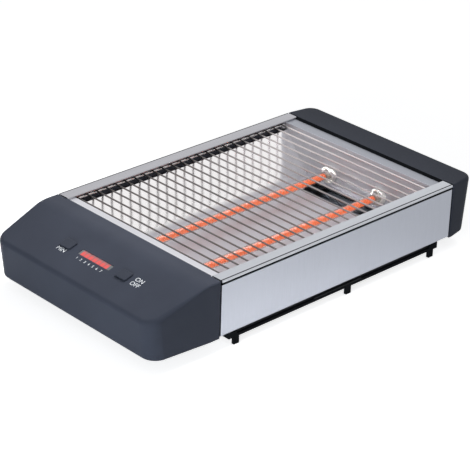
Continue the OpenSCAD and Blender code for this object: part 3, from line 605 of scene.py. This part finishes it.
def new_piece(name, bm, slot, body=BODY, nodes=(), smooth=SHARP_ANGLE, finish=None):
    """Makes a piece of a bmesh, which rides on a body and stands for the nodes given."""
    mesh = mesh_of(name, bm)
    mesh.shade_smooth()
    mesh.set_sharp_from_angle(angle=math.radians(smooth))
    piece = new_object(name, mesh)
    mesh.materials.append(finish_of(finish or slot))
    even = piece.modifiers.new("even_shading", "WEIGHTED_NORMAL")
    even.keep_sharp = True
    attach(piece, body)
    if nodes:
        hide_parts(*nodes)
    return piece


def soften(bm, edges, offset, segments, clamp=False):
    """Rounds off edges, and returns the vertices made."""
    return bmesh.ops.bevel(
        bm, geom=list(edges), offset=offset, offset_type="OFFSET", affect="EDGES", segments=segments,
        profile=0.5, material=-1, clamp_overlap=clamp)["verts"]


def fair_copy(name, node, slot, body=BODY, edge=0.0, finish=None):
    """A welded copy of a CAD node with its flat faces joined and its sharp edges softened."""
    flat_angle = 0.5
    bm = bmesh.new()
    bm.from_mesh(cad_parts[node].data)
    bmesh.ops.remove_doubles(bm, verts=bm.verts, dist=0.002 * MM)
    bmesh.ops.dissolve_limit(
        bm, angle_limit=math.radians(flat_angle), use_dissolve_boundaries=False,
        verts=bm.verts, edges=bm.edges, delimit={"NORMAL"})
    if edge:
        limit = math.radians(SHARP_ANGLE)
        sharp = [e for e in bm.edges if e.is_manifold and e.calc_face_angle() > limit]
        soften(bm, sharp, edge, segments=2, clamp=True)
    return new_piece(name, bm, slot, body, [node], finish=finish)


def mark(mesh, slot, test):
    """Gives the faces that pass a test another finish."""
    mesh.materials.append(finish_of(slot))
    for polygon in mesh.polygons:
        if test(polygon):
            polygon.material_index = 1


def paint(slot, *nodes):
    """Gives CAD nodes that no piece replaces their finish."""
    for node in nodes:
        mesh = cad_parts[node].data
        mesh.materials.clear()
        mesh.materials.append(finish_of(slot))


def all_of(bm):
    return list(bm.verts) + list(bm.edges) + list(bm.faces)


def on_axis(low, high, x):
    """A point on a box's long axis."""
    return Vector((x, (low.y + high.y) / 2, (low.z + high.z) / 2))


def turned(bm, profile, base, axis, steps):
    """Spins a profile of (distance along the axis, radius) about the axis through base."""
    out = axis.orthogonal().normalized()
    verts = [bm.verts.new(base + axis * along + out * radius) for along, radius in profile]
    edges = [bm.edges.new(pair) for pair in zip(verts, verts[1:])]
    bmesh.ops.spin(
        bm, geom=verts + edges, cent=base, axis=axis, angle=2 * math.pi, steps=steps,
        use_merge=True, use_duplicate=False)
    bmesh.ops.remove_doubles(bm, verts=bm.verts, dist=0.001 * MM)
    bmesh.ops.recalc_face_normals(bm, faces=bm.faces)


def row(bm, step, count):
    """Repeats what the bmesh holds, a step further each time."""
    first = all_of(bm)
    for i in range(1, count):
        made = bmesh.ops.duplicate(bm, geom=first)["geom"]
        verts = [item for item in made if isinstance(item, bmesh.types.BMVert)]
        bmesh.ops.translate(bm, verts=verts, vec=step * i)


def join(bm, other):
    """Moves all of another bmesh into this one."""
    mesh = mesh_of("joined", other)
    bm.from_mesh(mesh)
    bpy.data.meshes.remove(mesh)


def mirrored(near, length):
    """A profile of a near end, carried on to a far end that mirrors it."""
    return near + [(length - along, radius) for along, radius in reversed(near)]


def rod_profile(length, radius, edge):
    """A round rod with softened ends."""
    arc = 0.3 * edge
    return mirrored([(0.0, 0.0), (0.0, radius - edge), (arc, radius - arc), (edge, radius)], length)


def rounded_plate(bm, low, high, corner, edge, place, segments=6):
    """A plate between two corners with round upright corners and a softened top."""
    size = [h - l for l, h in zip(low, high)]
    middle = Vector((l + h) / 2 for l, h in zip(low, high))
    verts = set(bmesh.ops.create_cube(
        bm, size=1.0, matrix=Matrix.Translation(middle) @ Matrix.Diagonal((*size, 1.0)))["verts"])
    edges = {e for v in verts for e in v.link_edges}
    upright = [e for e in edges if abs(e.verts[0].co.z - e.verts[1].co.z) > size[2] / 2]
    made = soften(bm, upright, corner, segments)
    verts = {v for v in verts if v.is_valid} | set(made)
    if edge:
        level = high[2] - 0.0001 * MM
        top = {e for v in verts for e in v.link_edges if all(u.co.z > level for u in e.verts)}
        made = soften(bm, top, edge, segments=3)
        verts = {v for v in verts if v.is_valid} | set(made)
    bmesh.ops.transform(bm, matrix=place, verts=list(verts))


# Pieces

class ToasterOperator:
    bl_options = {"REGISTER"}


class TOASTER_OT_stage(ToasterOperator, bpy.types.Operator):
    """Make the floor, the lamps, the surroundings and the camera"""
    bl_idname = "toaster.stage"
    bl_label = "Stage"

    def lamp(self, name, power, size, place, aim, spread=180.0, tint=WHITE):
        data = bpy.data.lights.new(name, "AREA")
        data.energy = power
        data.size = size
        data.spread = math.radians(spread)
        data.color = tint
        made = new_object(name, data)
        made.location = place
        made.rotation_euler = (Vector(aim) - Vector(place)).to_track_quat("-Z", "Y").to_euler()
        made.visible_camera = False
        made.visible_glossy = False
        return made

    def seen(self, n):
        """1 for the rays that show the backdrop"""
        path = n.add("LightPath").outputs
        shown = n.math("MAXIMUM", path["Is Camera Ray"], path["Is Glossy Ray"])
        return n.math("MAXIMUM", shown, path["Is Transmission Ray"])

    def surroundings(self, level):
        world = bpy.data.worlds.new("white_room")
        n = emptied(world)
        light = n.add("Background", {"Color": toned(SKY_TINT), "Strength": level})
        white = n.add("Background", {"Color": toned(WHITE), "Strength": 1.0})
        both = n.add("MixShader", {0: self.seen(n), 1: light.outputs[0], 2: white.outputs[0]})
        n.put(n.add("OutputWorld").inputs["Surface"], both.outputs[0])
        bpy.context.scene.world = world

    def paper(self):
        """Pale paper that keeps a shadow and is lifted to white for the rays that show it"""
        material = bpy.data.materials.new("pale_floor")
        n = emptied(material)
        paper = n.add("BsdfDiffuse", {"Color": toned(PAPER_SHADE)})
        extra = n.math("MULTIPLY", n.add("LightPath").outputs["Is Camera Ray"], PAPER_LIFT_SEEN)
        level = n.math("MULTIPLY_ADD", self.seen(n), PAPER_LIFT, extra)
        lift = n.add("Emission", {"Color": toned(WHITE), "Strength": level})
        both = n.add("AddShader", {0: paper.outputs[0], 1: lift.outputs[0]})
        n.put(n.add("OutputMaterial").inputs["Surface"], both.outputs[0])
        return material

    def floor(self, size):
        bm = bmesh.new()
        bmesh.ops.create_grid(bm, x_segments=1, y_segments=1, size=size / 2)
        mesh = mesh_of("floor", bm)
        mesh.materials.append(self.paper())
        made = new_object("floor", mesh)

    def camera(self, lens):
        """The photo's view, as the camera's place and where its right, down and ahead point"""
        place = Vector((-1.084473, -1.121225, 0.819022))
        right = Vector((0.730071, -0.682780, 0.028446))
        down = Vector((-0.290687, -0.347955, -0.891307))
        ahead = Vector((0.618464, 0.642448, -0.452507))
        data = bpy.data.cameras.new("photo_camera")
        data.lens = lens
        data.sensor_width = 36.0
        data.clip_start = 0.05
        made = new_object("photo_camera", data)
        turn = Matrix((right, -down, -ahead)).transposed().to_4x4()
        made.matrix_world = Matrix.Translation(place) @ turn
        bpy.context.scene.camera = made

    def execute(self, context):
        stage = context.scene.toaster_stage
        context.scene.view_settings.view_transform = "Standard"
        self.camera(stage.lens)
        self.surroundings(stage.sky_level)
        self.floor(stage.floor_size)
        self.lamp(
            "key_lamp", stage.key_power, size=0.3, place=(0.25, 0.0, 0.5), aim=(-0.13, 0.0, 0.067),
            spread=50.0)
        self.lamp(
            "trough_lamp", stage.trough_power, size=0.05, place=(-0.35, -0.06, 0.5), aim=(0.125, 0.0, 0.02),
            spread=7.0)
        fill = self.lamp(
            "fill_lamp", stage.fill_power, size=0.6, place=(-1.2, -0.6, 0.25), aim=(0.0, 0.0, 0.03),
            tint=LAMP_TINT)
        fill.visible_glossy = True
        self.lamp(
            "end_lamp", stage.end_power, size=0.2, place=(-1.0, -0.25, 0.06), aim=(-0.21, -0.04, 0.03),
            spread=40.0, tint=LAMP_TINT)
        return {"FINISHED"}


class TOASTER_OT_housings(ToasterOperator, bpy.types.Operator):
    """Finish the control housing and the far housing"""
    bl_idname = "toaster.housings"
    bl_label = "Housings"

    def lean_and_shade_edge(self, shell):
        """Leans back the edge that meets the far end plate, and gives its leaned face painted shade"""
        nearly = 0.01 * MM
        top = [v for v in shell.vertices if v.co.z > RAIL_TOP - nearly]
        edge = min(v.co.x for v in top) + nearly
        for vertex in top:
            if vertex.co.x < edge:
                vertex.co.x += JOINT_LEAN
        shell.update()
        # Painted shade: the leaned face takes the near-black base plastic
        mark(shell, "base_plastic", lambda face: (
            face.normal.x < -0.5 and face.normal.z > 0.3 and face.center.x < edge + JOINT_LEAN))

    def execute(self, context):
        fair_copy("control_housing_shell", "control_housing", "housing_plastic")
        far = fair_copy("far_housing_shell", "far_housing", "housing_plastic")
        self.lean_and_shade_edge(far.data)
        return {"FINISHED"}


class TOASTER_OT_steel_body(ToasterOperator, bpy.types.Operator):
    """Finish the side panels, the top rails, the end plates and the reflector"""
    bl_idname = "toaster.steel_body"
    bl_label = "Steel body"

    def execute(self, context):
        for side in SIDES:
            fair_copy(f"{side}_side_panel", f"{side}_panel", "brushed_panel", edge=0.25 * MM)
        fair_copy("front_top_rail", "front_rail", "brushed_rail", edge=0.12 * MM)
        # Painted shade: the rear rail takes a darker copy of the rail steel
        fair_copy("rear_top_rail", "rear_rail", "brushed_rail", edge=0.12 * MM, finish="rear_rail")
        fair_copy("near_end_pan", "near_end_plate", "end_plate_steel", edge=0.15 * MM)
        far = fair_copy("far_end_pan", "far_end_plate", "end_plate_steel", edge=0.15 * MM, finish="far_wall")
        # Painted shade: the far end plate's top flange takes a darker copy of its steel
        mark(far.data, "far_flange_painted_shade", lambda face: (
            face.normal.z > 0.98 and face.center.z > RAIL_TOP - FLANGE_DROP))
        trough = fair_copy("reflector_trough", "reflector", "reflector_sheet")
        # Painted shade on the trough sheet's cut edges and underside below its floor
        mark(trough.data, "underside_painted_shade", lambda face: face.center.z < FLOOR_LEVEL - 0.1 * MM)
        return {"FINISHED"}


class TOASTER_OT_rack(ToasterOperator, bpy.types.Operator):
    """Make the wire rack"""
    bl_idname = "toaster.rack"
    bl_label = "Wire rack"

    def execute(self, context):
        sizes = context.scene.toaster_sizes
        low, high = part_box("wire_rack")
        wire_radius = sizes.wire_diameter / 2
        rod_radius = sizes.rod_diameter / 2
        pitch = (LAST_WIRE - FIRST_WIRE) / (sizes.wire_count - 1)
        bm = bmesh.new()
        base = Vector((FIRST_WIRE, low.y, high.z - wire_radius))
        turned(bm, rod_profile(high.y - low.y, wire_radius, ROD_END), base, ACROSS, steps=12)
        for aside in (-ROD_ASIDE, ROD_ASIDE):
            weld = Matrix.Translation((FIRST_WIRE, aside, low.z + 2 * rod_radius))
            bmesh.ops.create_icosphere(
                bm, subdivisions=1, radius=1.0, matrix=weld @ Matrix.Diagonal((*WELD_REACH, 1.0)))
        row(bm, ALONG * pitch, sizes.wire_count)
        rods = bmesh.new()
        base = Vector((low.x, -ROD_ASIDE, low.z + rod_radius))
        turned(rods, rod_profile(high.x - low.x, rod_radius, ROD_END), base, ALONG, steps=16)
        row(rods, ACROSS * (2 * ROD_ASIDE), 2)
        for face in rods.faces:
            face.material_index = 1
        join(bm, rods)
        rack = new_piece("toasting_rack", bm, "rack_wire", nodes=["wire_rack"])
        rack.data.materials.append(finish_of("rack_rod"))
        return {"FINISHED"}


class TOASTER_OT_heaters(ToasterOperator, bpy.types.Operator):
    """Make the quartz tubes, their spirals and their ceramic holders"""
    bl_idname = "toaster.heaters"
    bl_label = "Heaters"

    def tube(self, side, wall):
        low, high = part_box(f"{side}_quartz_tube")
        outer = (high.z - low.z) / 2
        inner = outer - wall
        near = [(TUBE_LIP, inner), (0.0, inner + TUBE_LIP), (0.0, outer - TUBE_LIP), (TUBE_LIP, outer)]
        bm = bmesh.new()
        outline = mirrored(near, high.x - low.x) + near[:1]
        turned(bm, outline, on_axis(low, high, low.x), ALONG, steps=32)
        new_piece(f"{side}_tube", bm, "quartz", nodes=[f"{side}_quartz_tube"])

    def spirals(self, sizes):
        low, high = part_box("front_heating_coil")
        radius = (high.z - low.z - sizes.coil_thick) / 2
        start = low.x + sizes.coil_wide / 2
        run = high.x - low.x - sizes.coil_wide
        steps_per_turn = 16
        steps = sizes.coil_turns * steps_per_turn
        place = Matrix.Translation(on_axis(low, high, start) - Vector((0.0, 0.0, radius)))
        shape = Matrix.Diagonal((sizes.coil_wide / 2, 1.0, sizes.coil_thick / 2, 1.0))
        upright = Matrix.Rotation(math.pi / 2, 4, "X")
        bm = bmesh.new()
        bmesh.ops.create_circle(bm, cap_ends=True, segments=8, radius=1.0, matrix=place @ shape @ upright)
        bmesh.ops.spin(
            bm, geom=all_of(bm), cent=on_axis(low, high, 0.0), axis=ALONG, dvec=ALONG * (run / steps),
            angle=2 * math.pi * sizes.coil_turns, steps=steps, use_merge=False, use_duplicate=False)
        bmesh.ops.recalc_face_normals(bm, faces=bm.faces)
        rear = bm.copy()
        bmesh.ops.translate(rear, verts=rear.verts, vec=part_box("rear_heating_coil")[0] - low)
        for side, coil in zip(SIDES, (bm, rear)):
            new_piece(f"{side}_spiral", coil, "glowing_wire", nodes=[f"{side}_heating_coil"], smooth=60.0)

    def holders(self, side, wall):
        fair_copy(f"{side}_ceramics", f"{side}_tube_ceramics", "white_ceramic", edge=0.5 * MM)
        low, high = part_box(f"{side}_quartz_tube")
        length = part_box(f"{side}_heating_coil")[0].x - low.x - PLUG_TO_COIL
        radius = (high.z - low.z) / 2 - wall - PLUG_CLEARANCE
        bm = bmesh.new()
        turned(bm, rod_profile(length, radius, PLUG_EDGE), on_axis(low, high, low.x), ALONG, steps=24)
        row(bm, ALONG * (high.x - low.x - length), 2)
        new_piece(f"{side}_tube_plugs", bm, "white_ceramic")

    def execute(self, context):
        sizes = context.scene.toaster_sizes
        self.spirals(sizes)
        for side in SIDES:
            self.tube(side, sizes.tube_wall)
            self.holders(side, sizes.tube_wall)
        paint("terminal_metal", "tube_terminals")
        paint("lead_sleeve", "tube_link_wire", "heater_leads")
        paint("dark_plastic", "thermal_cutout")
        return {"FINISHED"}


class TOASTER_OT_controls(ToasterOperator, bpy.types.Operator):
    """Make the two keys and the bar display"""
    bl_idname = "toaster.controls"
    bl_label = "Controls"

    def plate(self, bm, half, foot, top, edge, place):
        """A rounded plate about a key's middle, from its foot to its top"""
        down, across = half
        rounded_plate(bm, (-down, -across, foot), (down, across, top), KEY_CORNER, edge, place)

    def key(self, name, aside):
        place = FACE @ Matrix.Translation((CONTROL_ROW, aside, 0.0))
        stem = Matrix.Translation((0.0, 0.0, (KEY_STEM_FOOT + KEY_CAP_FOOT) / 2))
        bm = bmesh.new()
        self.plate(bm, KEY_CAP, KEY_CAP_FOOT, KEY_TOP, KEY_EDGE, place)
        self.plate(bm, KEY_FLANGE, KEY_FLANGE_FOOT, KEY_FLANGE_TOP, 0.0, place)
        bmesh.ops.create_cone(
            bm, cap_ends=True, segments=24, radius1=KEY_STEM_RADIUS, radius2=KEY_STEM_RADIUS,
            depth=KEY_CAP_FOOT - KEY_STEM_FOOT, matrix=place @ stem)
        new_piece(f"{name}_cap", bm, "key_plastic", body=name, nodes=[name], smooth=40.0)

    def execute(self, context):
        self.key("timer_key", KEY_ASIDE)
        self.key("start_key", -KEY_ASIDE)
        fair_copy("display_lens", "display_window", "display_lens", edge=0.15 * MM)
        fair_copy("display_lights", "display_bars", "display_light", edge=0.15 * MM)
        paint("dark_plastic", "display_block", "key_switches", "timer_plunger", "start_plunger")
        paint("circuit_board", "control_board", "power_board")
        paint("screw_steel", "board_screws")
        paint("relay_case", "relay")
        paint("capacitor_case", "supply_capacitor")
        paint("pale_plastic", "terminal_block")
        return {"FINISHED"}


class TOASTER_OT_printing(ToasterOperator, bpy.types.Operator):
    """Print the numbers and the words on the control face"""
    bl_idname = "toaster.printing"
    bl_label = "Printing"

    def word(self, bm, text, height, down, across, thick):
        """Sets a word at a place down the slope and across the housing, read from the control end"""
        curve = bpy.data.curves.new(text, "FONT")
        curve.body = text
        curve.size = height / CAPITAL_SHARE
        curve.align_x = "CENTER"
        curve.align_y = "CENTER"
        curve.extrude = thick / 2
        holder = new_object(text, curve)
        bpy.context.view_layer.update()
        evaluated = holder.evaluated_get(bpy.context.evaluated_depsgraph_get())
        mesh = bpy.data.meshes.new_from_object(evaluated)
        turn = Matrix.Rotation(-math.pi / 2, 4, "Z")
        mesh.transform(FACE @ Matrix.Translation((down, across, thick / 2)) @ turn)
        bm.from_mesh(mesh)
        bpy.data.objects.remove(holder)
        bpy.data.curves.remove(curve)
        bpy.data.meshes.remove(mesh)

    def execute(self, context):
        sizes = context.scene.toaster_sizes
        thick = sizes.print_thickness
        bm = bmesh.new()
        for i in range(DIGITS):
            across = DIGIT_FIRST - DIGIT_PITCH * i
            self.word(bm, str(i + 1), sizes.digit_height, DIGIT_DOWN, across, thick)
        for text, down, across in LABELS:
            self.word(bm, text, sizes.letter_height, down, across, thick)
        bmesh.ops.remove_doubles(bm, verts=bm.verts, dist=0.0005 * MM)
        new_piece("control_print", bm, "housing_plastic", finish="print_ink")
        return {"FINISHED"}


class TOASTER_OT_base(ToasterOperator, bpy.types.Operator):
    """Finish the base, its screws, the crumb tray and the cord gland"""
    bl_idname = "toaster.base"
    bl_label = "Base and tray"

    def far_lip(self):
        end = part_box("base_pan")[1].x
        foot, top = LIP_LEVELS
        bm = bmesh.new()
        rounded_plate(
            bm, (end - LIP_OVERLAP, -LIP_HALF, foot), (end + LIP_REACH, LIP_HALF, top),
            LIP_CORNER, LIP_EDGE, Matrix.Identity(4), segments=2)
        new_piece("base_far_lip", bm, "base_plastic")

    def execute(self, context):
        fair_copy("base_moulding", "base_pan", "base_plastic", edge=0.25 * MM)
        self.far_lip()
        fair_copy("tray_pan", "crumb_tray", "tray_enamel", body="crumb_tray", edge=0.12 * MM)
        fair_copy("gland_body", "cord_gland", "gland_plastic", edge=0.3 * MM)
        paint("screw_steel", "base_screws", "housing_screws")
        paint("gland_plastic", "gland_nut")
        return {"FINISHED"}


class TOASTER_PT_panel(bpy.types.Panel):
    """Lists the settings and the pieces of the toaster"""
    bl_idname = "TOASTER_PT_panel"
    bl_label = "Flat toaster"
    bl_space_type = "VIEW_3D"
    bl_region_type = "UI"
    bl_category = "Toaster"

    def draw(self, context):
        for settings in SETTINGS:
            group = getattr(context.scene, settings)
            column = self.layout.column()
            for name in group.__annotations__:
                column.prop(group, name)
        for operator in OPERATORS:
            self.layout.operator(operator.bl_idname)


SETTINGS = {
    "toaster_sizes": ToasterSizes,
    "toaster_finishes": ToasterFinishes,
    "toaster_stage": ToasterStage,
}
OPERATORS = (
    TOASTER_OT_stage, TOASTER_OT_housings, TOASTER_OT_steel_body, TOASTER_OT_rack, TOASTER_OT_heaters,
    TOASTER_OT_controls, TOASTER_OT_printing, TOASTER_OT_base,
)
CLASSES = (*SETTINGS.values(), *OPERATORS, TOASTER_PT_panel)


def register():
    for made in CLASSES:
        bpy.utils.register_class(made)
    for name, made in SETTINGS.items():
        setattr(bpy.types.Scene, name, PointerProperty(type=made))


def unregister():
    for name in SETTINGS:
        delattr(bpy.types.Scene, name)
    for made in reversed(CLASSES):
        bpy.utils.unregister_class(made)


def main():
    register()
    for operator in OPERATORS:
        group, name = operator.bl_idname.split(".")
        getattr(getattr(bpy.ops, group), name)()


if __name__ == "__main__":
    main()
